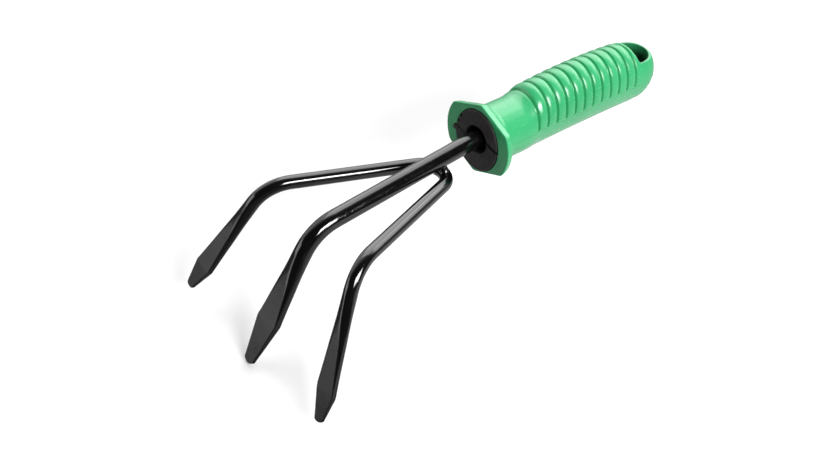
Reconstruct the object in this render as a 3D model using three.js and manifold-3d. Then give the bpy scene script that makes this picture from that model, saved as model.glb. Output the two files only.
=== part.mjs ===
// Three-pronged hand cultivator: a moulded grip, a two-part bush in its mouth, a centre tine whose tang
// the bush clamps, and a V-shaped bar with the two side tines welded under the centre tine.
//
// Millimetres. +X runs forward to the tines, +Y to the right-hand tine, +Z up, away from the points of
// the tines. The pieces are drawn from the point where the grip's axis meets the front face of its
// flange, and the finished group is moved so that its origin is the middle of its bounding box's underside.

import * as THREE from 'three';
import * as BufferGeometryUtils from 'three/addons/utils/BufferGeometryUtils.js';
import Module from 'manifold-3d';

const wasm = await Module();
wasm.setup();

// ---------------------------------------------------------------- driving dimensions

const gap = 0.3; // clearance between neighbouring pieces

// Grip. A section is an oval: half width along Y, half height along Z, height of its centre.
const neckSection = { halfWidth: 14.2, halfHeight: 14.9, centre: -1.3 };
const gripSection = { halfWidth: 13.5, halfHeight: 17.3, centre: 0.9 };
const neckEnd = -22; // the neck starts to change into the grip here
const gripStart = -34; // and the change is complete here
const swell = { halfHeight: 0.65, centre: 0.9, middle: -68, halfLength: 32 }; // the grip is barrel-shaped
const flangeThickness = 4;
const flareLength = 5; // concave flare between neck and flange
const flareGrowth = 2.4;
const ringGrooves = 12;
const ringPitch = 6.4;
const firstGroove = -29.2;
const ringLead = 1.5; // the neck's last section is this much in front of the first groove
const grooveHalfWidth = 0.95;
const grooveFloor = 0.35; // share of the groove's width that is flat
const grooveDepth = 1.2;
const crestHeight = 0.35; // the middle of a ring stands this much above its edges

// Flange outline: a round disc trimmed by four slanting flats that meet in a point above and below.
const flangeRadius = 22.3;
const flangeCentre = -0.6; // height of its middle
const flangePoint = 19.7; // the upper and lower points, from the middle
const flangeDraft = 0.05; // share by which its rear face is smaller
const flangeShoulder = 11.5; // where a slanting flat meets the round side, from the middle

// Rear end of the grip: a dome, cut flat above and below to a loop round an upright hole
const lastCrestEnd = -101.7; // rear edge of the last ring
const loopStart = -103.8;
const domeStart = -106;
const domeLength = 15.5;
const domeFullness = 2.3; // 2 is an ellipsoid, more is blunter
const domeFlat = 0.985; // share of the dome's quarter turn at which it ends in a small flat
const loopTop = 11.5;
const loopBottom = -11.5;
const holeHalfLength = 11;
const holeHalfWidth = 9.8;
const holeTurn = 99.7; // degrees of the hole's round side, either way from its rearmost point

// Hollow of the grip
const wall = 2.5;
const socketDepth = 28;
const hollowEnd = -97;
const hollowWall = 3.1;

// Bush
const headSection = { halfWidth: 14.65, halfHeight: 16.3, centre: -1.5 };
const headProud = 0.7;
const headDepth = 3;
const plugLength = 25;
const mouthRadius = 7.2;
const mouthCentre = -0.8;
const mouthDepth = 9;
const mouthCone = 2; // length of the cone at the mouth's bottom
const splitKnee = { side: 7.2, height: 1 }; // the joint between the halves slants down from here
const splitSlope = -0.25;
const notchAngles = [150, 164]; // degrees round the head's rim, from +Y towards +Z
const notchWidth = 1.6;
const notchInset = 0.6; // from the rim to the notch's middle
const notchDepth = 1.5;
const tab = { from: -16.6, to: -13.5, bottom: -3.2, top: -1, depth: 2 }; // key on the rim, along Y and Z

// Bars and blades
const shaftRadius = 4.45;
const sideRadius = 3.4;
const shaftHeight = -0.4; // height of the shaft's axis at the flange
const centreCorner = new THREE.Vector3(97.4, 0, -11.5);
const centreTip = new THREE.Vector3(134.3, 0, -74);
const forkApex = new THREE.Vector3(-0.1, -0.6, -12.08); // where the two side bars' axes would meet
const sideCorner = new THREE.Vector3(99.6, 34.4, -6.9);
const sideTip = new THREE.Vector3(133.2, 53.7, -67.3);
const leftShortening = 1.2; // the left tine ends this much before the mirror image of the right one
const steepHeading = 0.8; // downward part of a side bar's heading at which it counts as steep
const centreBend = 23; // bend radii of the bars' axes
const neckBend = 30;
const sideBend = 20;
const apexBend = 10.6;
const tangEnd = -22;
const earCentre = -16; // pressed ears that key the tang into the bush
const earHalfLength = 4;
const earHalfWidth = 6.4;
const earHalfDepth = 2.9;

// Weld beads, in the corners between the shaft and the bend of the side bars
const beadCentre = new THREE.Vector3(23, 3.2, -7.5);
const beadRadius = 1.9;
const beadLength = 3.4;
const beadTurn = 60; // degrees from the grip's axis

// A blade: its length and the distances of its shoulders back from the tip, the half width and half
// thickness at the shoulders, and the radius of the tip. The centre blade's left is the tool's left, and
// a side blade's left is its outer side.
const centreBlade = {
  length: 60, shoulderLeft: 22.5, shoulderRight: 24.2, halfWidth: 6.7, halfThickness: 1.9, tipRadius: 3.7,
};
const leftBlade = {
  length: 58, shoulderLeft: 13.8, shoulderRight: 15.2, halfWidth: 5.5, halfThickness: 1.5, tipRadius: 2.9,
};
const rightBlade = {
  length: 58, shoulderLeft: 12.2, shoulderRight: 16.9, halfWidth: 5.4, halfThickness: 1.5, tipRadius: 2.9,
};
const bladeSquareness = 6; // 2 is an oval section, more is squarer
const bladeTaper = 1.2; // 1 is a straight taper from the bar to the shoulders, more is hollow
const squareShare = 0.3; // of its length over which a blade keeps its full squareness
const tipHalfThickness = 0.8;
const tipTangentBack = 0.6; // where the round tip meets the straight sides, as shares of its radius
const tipTangentWidth = 0.92;
const tipFlat = 0.06; // keeps the very end of the tip from closing to a point

const bodySides = 40; // facets around the grip
const barSides = 18; // facets around a bar
const bendSteps = 7; // facets along a bend
const neckSteps = 9; // facets along the neck
const neckCrowding = 1.2; // 1 spaces them evenly, more crowds them towards the flange
const smoothSteps = 14; // facets along the smooth half
const domeSteps = 7; // facets along the dome
const hollowSteps = 6; // facets along the hollow
const holeFacets = 14; // around the hanging hole
const flangeFacets = 10; // around each round side of the flange
const mouthFacets = 28; // around the bush's mouth
const beadRings = 4; // facets from a bead's side to its end
const beadSides = 12; // facets around a bead
const stationsInBush = 12; // how many of the centre tine's sections the bush surrounds
const overrun = 1; // a cutting solid reaches this far out of the face it cuts

// ---------------------------------------------------------------- materials

const grassGreenPlastic = () => new THREE.MeshStandardMaterial({
  color: 0x4fd08b, roughness: 0.32, metalness: 0,
});
const darkGreyPlastic = () => new THREE.MeshStandardMaterial({
  color: 0x2d2b2c, roughness: 0.7, metalness: 0,
});
const blackEnamel = () => new THREE.MeshStandardMaterial({
  color: 0x141416, roughness: 0.22, metalness: 0.3,
});

// ---------------------------------------------------------------- solids and booleans

function toSolid(geometry) {
  const bare = geometry.index ? geometry.clone() : BufferGeometryUtils.mergeVertices(geometry);
  bare.deleteAttribute('normal');
  bare.deleteAttribute('uv');
  const welded = BufferGeometryUtils.mergeVertices(bare, 1e-4);
  return new wasm.Manifold(new wasm.Mesh({
    numProp: 3,
    vertProperties: Float32Array.from(welded.attributes.position.array),
    triVerts: Uint32Array.from(welded.index.array),
  }));
}

function toGeometry(solid) {
  const mesh = solid.getMesh();
  const geometry = new THREE.BufferGeometry();
  geometry.setAttribute('position', new THREE.BufferAttribute(mesh.vertProperties, 3));
  geometry.setIndex(new THREE.BufferAttribute(mesh.triVerts, 1));
  geometry.computeVertexNormals();
  return geometry;
}

function boxSolid(from, to) {
  const size = new THREE.Vector3().subVectors(to, from);
  const centre = new THREE.Vector3().addVectors(from, to).multiplyScalar(0.5);
  const geometry = new THREE.BoxGeometry(size.x, size.y, size.z);
  geometry.translate(centre.x, centre.y, centre.z);
  return toSolid(geometry);
}

// Turns a shape drawn in the XY plane and extruded along Z into the YZ plane, extruded along X
function alongX(geometry) {
  return geometry.applyMatrix4(new THREE.Matrix4().makeBasis(
    new THREE.Vector3(0, 1, 0), new THREE.Vector3(0, 0, 1), new THREE.Vector3(1, 0, 0)));
}

const reach = 300; // longer than the whole object
const upperSpace = () => boxSolid(
  new THREE.Vector3(-reach, -reach, 0), new THREE.Vector3(reach, reach, reach));
const lowerSpace = () => boxSolid(
  new THREE.Vector3(-reach, -reach, -reach), new THREE.Vector3(reach, reach, 0));

// ---------------------------------------------------------------- lofting

const roundOff = 1e-9; // a coordinate on an axis of the section

// A closed solid through a row of stations. Each station has a centre (at), the direction of its width
// (across) and of its depth (deep), the half widths on its two sides and the half depths on its two sides.
// squareness 2 is an ellipse, larger values fill its corners.
function loft(stations, sides) {
  const geometry = new THREE.CylinderGeometry(1, 1, 1, sides, stations.length - 1);
  const position = geometry.attributes.position;
  const unit = new THREE.Vector3();
  for (let i = 0; i < position.count; i += 1) {
    unit.fromBufferAttribute(position, i);
    const station = stations[Math.round((0.5 - unit.y) * (stations.length - 1))];
    const fill = (value) => (Math.abs(value) < roundOff
      ? 0
      : Math.sign(value) * Math.abs(value) ** (2 / station.squareness));
    const onAxis = Math.hypot(unit.x, unit.z) < 0.5;
    const width = onAxis ? 0 : fill(unit.z);
    const depth = onAxis ? 0 : fill(unit.x);
    const halfWidth = width > 0 ? station.halfRight : station.halfLeft;
    const halfDepth = depth > 0 ? station.halfUp : station.halfDown;
    const point = station.at.clone()
      .addScaledVector(station.across, width * halfWidth)
      .addScaledVector(station.deep, depth * halfDepth);
    position.setXYZ(i, point.x, point.y, point.z);
  }
  return geometry;
}

const lerp = THREE.MathUtils.lerp;
const smoothstep = THREE.MathUtils.smoothstep;

function ovalStation(x, section, extra = 0) {
  return {
    at: new THREE.Vector3(x, 0, section.centre),
    across: new THREE.Vector3(0, 1, 0),
    deep: new THREE.Vector3(0, 0, 1),
    halfRight: section.halfWidth + extra,
    halfLeft: section.halfWidth + extra,
    halfUp: section.halfHeight + extra,
    halfDown: section.halfHeight + extra,
    squareness: 2,
  };
}

function ovalSolid(section, fromX, toX, extra = 0) {
  return toSolid(loft([ovalStation(toX, section, extra), ovalStation(fromX, section, extra)], bodySides));
}

// ---------------------------------------------------------------- grip

function outerSection(x) {
  const change = smoothstep(-x, -neckEnd, -gripStart);
  const along = (Math.max(x, loopStart) - swell.middle) / swell.halfLength;
  const arch = 1 - along ** 2;
  return {
    halfWidth: lerp(neckSection.halfWidth, gripSection.halfWidth, change),
    halfHeight: lerp(neckSection.halfHeight, gripSection.halfHeight + swell.halfHeight * arch, change),
    centre: lerp(neckSection.centre, gripSection.centre + swell.centre * arch, change),
  };
}

function flare(x) {
  const nearness = THREE.MathUtils.clamp(1 + (x + flangeThickness) / flareLength, 0, 1);
  return flareGrowth * nearness ** 2;
}

const tubeStation = (x, extra = 0) => ovalStation(x, outerSection(x), extra + flare(x));

// Stations along the plain skin, closer together towards the flange
function skinStations(fromX, toX, steps, crowding = 1) {
  const stations = [];
  for (let i = 0; i <= steps; i += 1) {
    stations.push(tubeStation(lerp(fromX, toX, (i / steps) ** crowding)));
  }
  return stations;
}

const neckStations = () => skinStations(
  -flangeThickness / 2, firstGroove + ringLead, neckSteps, neckCrowding);

// The rings: each groove has slanting sides and a flat bottom, and the crest between two grooves is convex.
function ringStations() {
  const stations = [];
  const floor = grooveHalfWidth * grooveFloor;
  for (let ring = 0; ring < ringGrooves; ring += 1) {
    const x = firstGroove - ring * ringPitch;
    stations.push(tubeStation(x + grooveHalfWidth));
    stations.push(tubeStation(x + floor, -grooveDepth));
    stations.push(tubeStation(x - floor, -grooveDepth));
    stations.push(tubeStation(x - grooveHalfWidth));
    if (ring < ringGrooves - 1) {
      stations.push(tubeStation(x - ringPitch / 2, crestHeight));
    }
  }
  return stations;
}

// Stations of the domed rear end, which narrows to a small flat
function domeStations() {
  const stations = [];
  const lastStep = domeFlat * domeSteps;
  for (let i = 0; i <= domeSteps; i += 1) {
    const along = Math.sin(Math.PI / 2 * Math.min(i, lastStep) / domeSteps);
    const station = tubeStation(domeStart - domeLength * along);
    const keepWidth = (1 - along ** domeFullness) ** (1 / domeFullness);
    const keepHeight = Math.sqrt(1 - along ** 2);
    station.halfLeft *= keepWidth;
    station.halfRight *= keepWidth;
    station.halfUp *= keepHeight;
    station.halfDown *= keepHeight;
    stations.push(station);
  }
  return stations;
}

function ribbedHalf() {
  const stations = [...neckStations(), ...ringStations(), ...domeStations()];
  return toSolid(loft(stations, bodySides)).intersect(upperSpace());
}

function smoothHalf() {
  const plain = skinStations(firstGroove, loopStart, smoothSteps);
  const stations = [...neckStations(), ...plain, ...domeStations()];
  return toSolid(loft(stations, bodySides)).intersect(lowerSpace());
}

// The hole for hanging runs upright and is D-shaped: straight beside the last ring, round at the rear.
function hangingHole() {
  const turn = THREE.MathUtils.degToRad(holeTurn);
  const from = Math.PI - turn;
  const to = Math.PI + turn;
  const shape = new THREE.Shape();
  shape.absellipse(domeStart, 0, holeHalfLength, holeHalfWidth, from, to, false, 0);
  const geometry = new THREE.ExtrudeGeometry(shape, {
    depth: 2 * reach, bevelEnabled: false, curveSegments: holeFacets,
  });
  geometry.translate(0, 0, -reach);
  return toSolid(geometry);
}

function flangeOutline() {
  const side = Math.sqrt(flangeRadius ** 2 - flangeShoulder ** 2);
  const turn = Math.atan2(flangeShoulder, side);
  const shape = new THREE.Shape();
  shape.moveTo(0, flangePoint);
  shape.lineTo(-side, flangeShoulder);
  shape.absarc(0, 0, flangeRadius, Math.PI - turn, Math.PI + turn, false);
  shape.lineTo(0, -flangePoint);
  shape.lineTo(side, -flangeShoulder);
  shape.absarc(0, 0, flangeRadius, -turn, turn, false);
  return shape;
}

// The flange: its outline is drawn in the YZ plane, and its side tapers a little toward the rear.
function flangeSolid() {
  const geometry = new THREE.ExtrudeGeometry(flangeOutline(), {
    depth: flangeThickness, bevelEnabled: false, curveSegments: flangeFacets,
  });
  const position = geometry.attributes.position;
  for (let i = 0; i < position.count; i += 1) {
    const atRear = 1 - position.getZ(i) / flangeThickness;
    const scale = 1 - flangeDraft * atRear;
    position.setXYZ(i, position.getX(i) * scale, position.getY(i) * scale, position.getZ(i));
  }
  alongX(geometry).translate(-flangeThickness, 0, flangeCentre);
  return toSolid(geometry);
}

// The key on the bush's rim, or the slot for it when grown by the gap
function tabSolid(grow = 0) {
  return boxSolid(
    new THREE.Vector3(-tab.depth - grow, tab.from - grow, tab.bottom - grow),
    new THREE.Vector3(headProud + grow, tab.to, tab.top + grow));
}

function socketSolid() {
  const socket = ovalSolid(neckSection, -socketDepth, overrun, -wall);
  const recess = ovalSolid(headSection, -headDepth - gap, overrun, gap);
  const hollowStart = overrun - socketDepth;
  const stations = [];
  for (let i = 0; i <= hollowSteps; i += 1) {
    stations.push(tubeStation(lerp(hollowStart, hollowEnd, i / hollowSteps), -hollowWall));
  }
  return socket.add(recess).add(tabSolid(gap)).add(toSolid(loft(stations, bodySides)));
}

// What is cut away above and below the loop, with a slanting face behind the last ring
function loopCut(level, outward) {
  const shape = new THREE.Shape();
  shape.moveTo(lastCrestEnd, outward * reach);
  shape.lineTo(lastCrestEnd, outward * (gripSection.halfHeight + overrun));
  shape.lineTo(loopStart, level);
  shape.lineTo(-reach, level);
  shape.lineTo(-reach, outward * reach);
  const geometry = new THREE.ExtrudeGeometry(shape, { depth: reach, bevelEnabled: false });
  geometry.rotateX(Math.PI / 2);
  geometry.translate(0, reach / 2, 0);
  return toSolid(geometry);
}

function gripGeometry() {
  return toGeometry(ribbedHalf()
    .add(smoothHalf())
    .add(flangeSolid())
    .subtract(loopCut(loopTop, 1))
    .subtract(loopCut(loopBottom, -1))
    .subtract(hangingHole())
    .subtract(socketSolid()));
}

// ---------------------------------------------------------------- bars

// Points of a path with a circular bend at each inner corner: [{ at, along }]
function bentPath(corners, bendRadii, bendSteps) {
  const path = [];
  const heading = (from, to) => new THREE.Vector3().subVectors(to, from).normalize();
  path.push({ at: corners[0].clone(), along: heading(corners[0], corners[1]) });
  for (let i = 1; i < corners.length - 1; i += 1) {
    const before = heading(corners[i - 1], corners[i]);
    const after = heading(corners[i], corners[i + 1]);
    const turn = before.angleTo(after);
    const radius = bendRadii[i - 1];
    const start = corners[i].clone().addScaledVector(before, -radius * Math.tan(turn / 2));
    const inward = after.clone().addScaledVector(before, -after.dot(before)).normalize();
    for (let step = 0; step <= bendSteps; step += 1) {
      const angle = turn * step / bendSteps;
      path.push({
        at: start.clone()
          .addScaledVector(before, radius * Math.sin(angle))
          .addScaledVector(inward, radius * (1 - Math.cos(angle))),
        along: before.clone().multiplyScalar(Math.cos(angle)).addScaledVector(inward, Math.sin(angle)),
      });
    }
  }
  const last = corners.length - 1;
  path.push({ at: corners[last].clone(), along: heading(corners[last - 1], corners[last]) });
  return path;
}

function barStation(point, sideways, radius) {
  const across = sideways.clone().addScaledVector(point.along, -sideways.dot(point.along)).normalize();
  return {
    at: point.at,
    across,
    deep: new THREE.Vector3().crossVectors(across, point.along),
    halfRight: radius,
    halfLeft: radius,
    halfUp: radius,
    halfDown: radius,
    squareness: 2,
  };
}

// Half width of one side of a blade, at a distance back from the tip
function bladeHalfWidth(back, shoulder, blade, barRadius) {
  if (back >= shoulder) {
    return lerp(blade.halfWidth, barRadius, (back - shoulder) / (blade.length - shoulder));
  }
  const tangentBack = blade.tipRadius * tipTangentBack;
  const tangentWidth = blade.tipRadius * tipTangentWidth;
  if (back > tangentBack) {
    return lerp(tangentWidth, blade.halfWidth, (back - tangentBack) / (shoulder - tangentBack));
  }
  const round = Math.min(back / tangentBack + tipFlat, 1);
  return tangentWidth * Math.sqrt(1 - (1 - round) ** 2);
}

function bladeHalfThickness(back, blade, barRadius) {
  const shoulder = (blade.shoulderLeft + blade.shoulderRight) / 2;
  if (back >= shoulder) {
    const taper = (back - shoulder) / (blade.length - shoulder);
    return lerp(blade.halfThickness, barRadius, taper ** bladeTaper);
  }
  return lerp(tipHalfThickness, blade.halfThickness, back / shoulder);
}

// Stations of a forged blade that ends a bar, from the bar down to the tip
function bladeStations(tip, along, sideways, blade, barRadius) {
  const { length, shoulderLeft, shoulderRight, tipRadius } = blade;
  const upperShares = [1, 0.8, 0.6, 0.42];
  const backs = [
    ...upperShares.map((share) => share * length),
    Math.max(shoulderLeft, shoulderRight) + 0.01,
    Math.min(shoulderLeft, shoulderRight),
    1.8 * tipRadius, tipTangentBack * tipRadius, 0.25 * tipRadius, 0,
  ];
  return backs.map((back) => {
    const point = { at: tip.clone().addScaledVector(along, -back), along };
    const station = barStation(point, sideways, barRadius);
    station.halfLeft = bladeHalfWidth(back, shoulderLeft, blade, barRadius);
    station.halfRight = bladeHalfWidth(back, shoulderRight, blade, barRadius);
    station.halfUp = bladeHalfThickness(back, blade, barRadius);
    station.halfDown = station.halfUp;
    station.squareness = lerp(bladeSquareness, 2, smoothstep(back, length * squareShare, length));
    return station;
  });
}

function earStations(grow) {
  const sideways = new THREE.Vector3(0, 1, 0);
  const along = new THREE.Vector3(1, 0, 0);
  const profile = [
    [tangEnd - grow, 0], [earCentre - earHalfLength, 0], [earCentre - earHalfLength / 2, 1],
    [earCentre + earHalfLength / 2, 1], [earCentre + earHalfLength, 0],
  ];
  return profile.map(([x, pressed]) => {
    const at = new THREE.Vector3(x, 0, shaftHeight);
    const station = barStation({ at, along }, sideways, shaftRadius + grow);
    station.halfLeft = lerp(shaftRadius, earHalfWidth, pressed) + grow;
    station.halfRight = station.halfLeft;
    station.halfUp = lerp(shaftRadius, earHalfDepth, pressed) + grow;
    station.halfDown = station.halfUp;
    return station;
  });
}

function centreTineStations(grow = 0) {
  const sideways = new THREE.Vector3(0, 1, 0);
  const bends = bentPath([new THREE.Vector3(-6, 0, shaftHeight), new THREE.Vector3(1, 0, shaftHeight),
    centreCorner, centreTip], [neckBend, centreBend], bendSteps);
  const along = new THREE.Vector3().subVectors(centreTip, centreCorner).normalize();
  return [
    ...earStations(grow),
    ...bends.slice(0, -1).map((point) => barStation(point, sideways, shaftRadius + grow)),
    ...bladeStations(centreTip, along, sideways, centreBlade, shaftRadius + grow),
  ];
}

const mirrored = (point) => new THREE.Vector3(point.x, -point.y, point.z);

// One bar from the left tip, round the apex, to the right tip. Its sections turn with the bar, from level
// on the arms to across the tool on the steep blades.
function sideForkStations(grow = 0) {
  const bladeDirection = new THREE.Vector3().subVectors(sideTip, sideCorner).normalize();
  const leftTip = mirrored(sideTip.clone().addScaledVector(bladeDirection, -leftShortening));
  const bends = bentPath([leftTip, mirrored(sideCorner), forkApex, sideCorner, sideTip],
    [sideBend, apexBend, sideBend], bendSteps);
  const radius = sideRadius + grow;
  const up = new THREE.Vector3(0, 0, 1);
  const barStations = bends.slice(1, -1).map((point) => {
    const steepness = Math.min(Math.abs(point.along.z) / steepHeading, 1);
    const level = new THREE.Vector3().crossVectors(point.along, up).normalize();
    const bladeWise = new THREE.Vector3(0, point.at.y < 0 ? 1 : -1, 0);
    return barStation(point, level.lerp(bladeWise, steepness), radius);
  });
  const left = bladeStations(
    leftTip, mirrored(bladeDirection), new THREE.Vector3(0, 1, 0), leftBlade, radius);
  left.reverse();
  for (const station of left) {
    station.deep.negate();
  }
  const right = bladeStations(sideTip, bladeDirection, new THREE.Vector3(0, -1, 0), rightBlade, radius);
  return [...left, ...barStations, ...right];
}

// ---------------------------------------------------------------- bush

// The space above (side 1) or below (side -1) the joint between the halves. The joint slants down outside
// its knees, so that two equal halves fit together.
function halfSpace(side) {
  const drop = splitSlope * (reach - splitKnee.side);
  const shift = side * gap / 2;
  const rise = splitKnee.height - shaftHeight;
  const shape = new THREE.Shape();
  shape.moveTo(-reach, shaftHeight - rise - drop + shift);
  shape.lineTo(-splitKnee.side, shaftHeight - rise + shift);
  shape.lineTo(splitKnee.side, splitKnee.height + shift);
  shape.lineTo(reach, splitKnee.height + drop + shift);
  shape.lineTo(reach, side * reach);
  shape.lineTo(-reach, side * reach);
  const geometry = new THREE.ExtrudeGeometry(shape, { depth: 2 * reach, bevelEnabled: false });
  alongX(geometry).translate(-reach, 0, 0);
  return toSolid(geometry);
}

// The round mouth, turned about the grip's axis and closed by a cone at its bottom
function mouthSolid() {
  const bottom = headProud - mouthDepth;
  const front = headProud + overrun;
  const geometry = new THREE.LatheGeometry([
    new THREE.Vector2(0, bottom),
    new THREE.Vector2(shaftRadius + gap, bottom),
    new THREE.Vector2(mouthRadius, bottom + mouthCone),
    new THREE.Vector2(mouthRadius, front),
    new THREE.Vector2(0, front),
  ], mouthFacets);
  geometry.rotateZ(-Math.PI / 2);
  geometry.translate(0, 0, mouthCentre);
  return toSolid(geometry);
}

function notchSolid(degrees) {
  const angle = THREE.MathUtils.degToRad(degrees);
  const side = headSection.halfWidth * Math.cos(angle) + notchInset;
  const up = headSection.centre + headSection.halfHeight * Math.sin(angle);
  const half = notchWidth / 2;
  return boxSolid(
    new THREE.Vector3(headProud - notchDepth, side - half, up - half),
    new THREE.Vector3(headProud + overrun, side + half, up + half));
}

function bushHalfGeometry(side) {
  const head = ovalSolid(headSection, -headDepth, headProud);
  const plug = ovalSolid(neckSection, -plugLength, -headDepth + 0.5, -wall - gap);
  const tang = toSolid(loft(centreTineStations(gap).slice(0, stationsInBush), barSides));
  const whole = head.add(tabSolid()).add(plug).subtract(mouthSolid()).subtract(tang);
  const notched = notchAngles.reduce((solid, degrees) => solid.subtract(notchSolid(degrees)), whole);
  return toGeometry(notched.intersect(halfSpace(side)));
}

// ---------------------------------------------------------------- weld

function weldBeadGeometry(side) {
  const capsule = new THREE.CapsuleGeometry(beadRadius, beadLength, beadRings, beadSides);
  capsule.rotateZ(-Math.PI / 2);
  capsule.rotateZ(side * THREE.MathUtils.degToRad(beadTurn));
  capsule.translate(beadCentre.x, side * beadCentre.y, beadCentre.z);
  return toGeometry(toSolid(capsule)
    .subtract(toSolid(loft(centreTineStations(gap), barSides)))
    .subtract(toSolid(loft(sideForkStations(gap), barSides))));
}

// ---------------------------------------------------------------- assembly

function piece(name, geometry, material) {
  const mesh = new THREE.Mesh(geometry, material);
  mesh.name = name;
  return mesh;
}

const group = new THREE.Group();
group.add(piece('grip', gripGeometry(), grassGreenPlastic()));
group.add(piece('bush_upper_half', bushHalfGeometry(1), darkGreyPlastic()));
group.add(piece('bush_lower_half', bushHalfGeometry(-1), darkGreyPlastic()));
group.add(piece('centre_tine', loft(centreTineStations(), barSides), blackEnamel()));
group.add(piece('side_tine_fork', loft(sideForkStations(), barSides), blackEnamel()));
group.add(piece('weld_bead_left', weldBeadGeometry(-1), blackEnamel()));
group.add(piece('weld_bead_right', weldBeadGeometry(1), blackEnamel()));

const bounds = new THREE.Box3().setFromObject(group, true);
const middle = bounds.getCenter(new THREE.Vector3());
group.position.set(-middle.x, -middle.y, -bounds.min.z);

export default group;
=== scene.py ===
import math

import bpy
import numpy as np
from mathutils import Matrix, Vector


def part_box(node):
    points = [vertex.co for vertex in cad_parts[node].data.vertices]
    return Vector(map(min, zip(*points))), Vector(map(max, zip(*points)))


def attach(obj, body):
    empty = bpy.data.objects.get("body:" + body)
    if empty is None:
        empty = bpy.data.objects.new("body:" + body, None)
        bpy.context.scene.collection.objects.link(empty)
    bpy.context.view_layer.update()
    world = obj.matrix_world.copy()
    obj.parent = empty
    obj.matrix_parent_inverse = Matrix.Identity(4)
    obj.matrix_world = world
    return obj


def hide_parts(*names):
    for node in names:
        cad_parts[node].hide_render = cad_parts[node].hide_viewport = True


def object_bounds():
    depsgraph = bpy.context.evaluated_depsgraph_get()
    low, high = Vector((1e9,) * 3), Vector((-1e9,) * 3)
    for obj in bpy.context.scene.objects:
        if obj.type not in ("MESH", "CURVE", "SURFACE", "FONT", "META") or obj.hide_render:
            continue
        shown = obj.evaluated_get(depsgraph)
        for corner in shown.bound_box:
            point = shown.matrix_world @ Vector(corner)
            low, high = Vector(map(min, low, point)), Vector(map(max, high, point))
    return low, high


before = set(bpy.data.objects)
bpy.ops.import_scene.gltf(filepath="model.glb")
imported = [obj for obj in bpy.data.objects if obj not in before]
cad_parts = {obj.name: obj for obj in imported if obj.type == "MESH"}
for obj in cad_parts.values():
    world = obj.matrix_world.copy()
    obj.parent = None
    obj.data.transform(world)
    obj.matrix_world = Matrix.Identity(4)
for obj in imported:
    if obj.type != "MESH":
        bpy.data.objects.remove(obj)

# The looks of the hand cultivator: fine surfaces, finishes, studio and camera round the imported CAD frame.
#
# Shapes are drawn in millimetres in the tool's drawing frame, whose origin is where the grip's axis meets
# the front face of its flange. +x runs forward to the tines, +y to the right-hand tine and +z up.
# make_piece() turns them into metres in the CAD frame, which the studio and the finishes use too.

cad_low, cad_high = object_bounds()
MM = 0.001

# ------------------------------------------------------------------ driving dimensions

FLANGE_CENTRE = -0.6  # height of the flange's middle above the grip's axis
FLANGE_POINT = 19.7  # of its upper and lower point above and below that middle
grip_low, grip_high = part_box("grip")
FLANGE_LOWEST = FLANGE_CENTRE - FLANGE_POINT
ORIGIN = Vector((grip_high.x, (grip_low.y + grip_high.y) / 2, grip_low.z - FLANGE_LOWEST * MM))


def local_box(node):
    """Lowest and highest corner of a CAD node in the drawing frame, in millimetres."""
    low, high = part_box(node)
    return (low - ORIGIN) / MM, (high - ORIGIN) / MM


grip_low, grip_high = local_box("grip")
bush_low, bush_high = local_box("bush_upper_half")
tang_end = local_box("centre_tine")[0].x

GAP = 0.3

# Oval sections: half width along y, half height along z, height of the centre
NECK = (14.2, 14.9, -1.3)
GRIP = (13.5, 17.3, 0.9)
HEAD = (14.65, 16.3, -1.5)
NECK_END, GRIP_START = -22, -34
SWELL_HEIGHT, SWELL_CENTRE = 0.65, 0.9  # the grip is barrel-shaped
SWELL_MIDDLE, SWELL_HALF_LENGTH = -68, 32

FLANGE_RADIUS = grip_high.y
FLANGE_SHOULDER = 11.5
FLANGE_THICKNESS = 4
FLANGE_DRAFT = 0.05
FLARE_LENGTH, FLARE_GROWTH = 5, 2.4

RING_GROOVES, RING_PITCH = 12, 6.4
FIRST_GROOVE = -29.2
GROOVE_HALF_WIDTH, GROOVE_DEPTH = 0.95, 0.9
GROOVE_FLOOR = 0.2  # share of a groove's width that is flat
CREST_HEIGHT, RING_SINK = 0.8, 0.45  # rise of a ring's arch, and how far its feet lie below the plain skin
RING_LEAD = 0.3  # share of a pitch over which the skin sinks before the first groove and after the last

DOME_LENGTH, DOME_FULLNESS = 15.5, 2.3
DOME_START = grip_low.x + DOME_LENGTH
LAST_CREST_END, LOOP_START = -101.7, -103.8
LOOP_HALF_HEIGHT = 11.5
HOLE_HALF_LENGTH, HOLE_HALF_WIDTH = 11, 9.8
HOLE_TURN = 99.74  # degrees of the hole's round side, either way from its rearmost point
HOLE_FRONT = DOME_START - HOLE_HALF_LENGTH * math.cos(math.radians(HOLE_TURN))

WALL, HOLLOW_WALL = 2.5, 3.1
SOCKET_DEPTH, HOLLOW_END = 28, -97

HEAD_PROUD, HEAD_DEPTH = bush_high.x, 3
PLUG_END = bush_low.x
MOUTH_RADIUS, MOUTH_CENTRE, MOUTH_DEPTH, MOUTH_CONE = 7.2, -0.8, 9, 2
SPLIT_KNEE, SPLIT_RISE, SPLIT_SLOPE = 7.2, 1.4, -0.25  # of the joint between the halves
NOTCH_ANGLES, NOTCH_WIDTH, NOTCH_INSET, NOTCH_DEPTH = (150, 164), 1.6, 0.6, 1.5
TAB_SIDE, TAB_HEIGHT, TAB_DEPTH = (-16.6, -13.5), (-3.2, -1.0), 2  # key on the rim
SLIT_OPENING = 0.45  # the joint gapes this much more, each way, on the right

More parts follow.
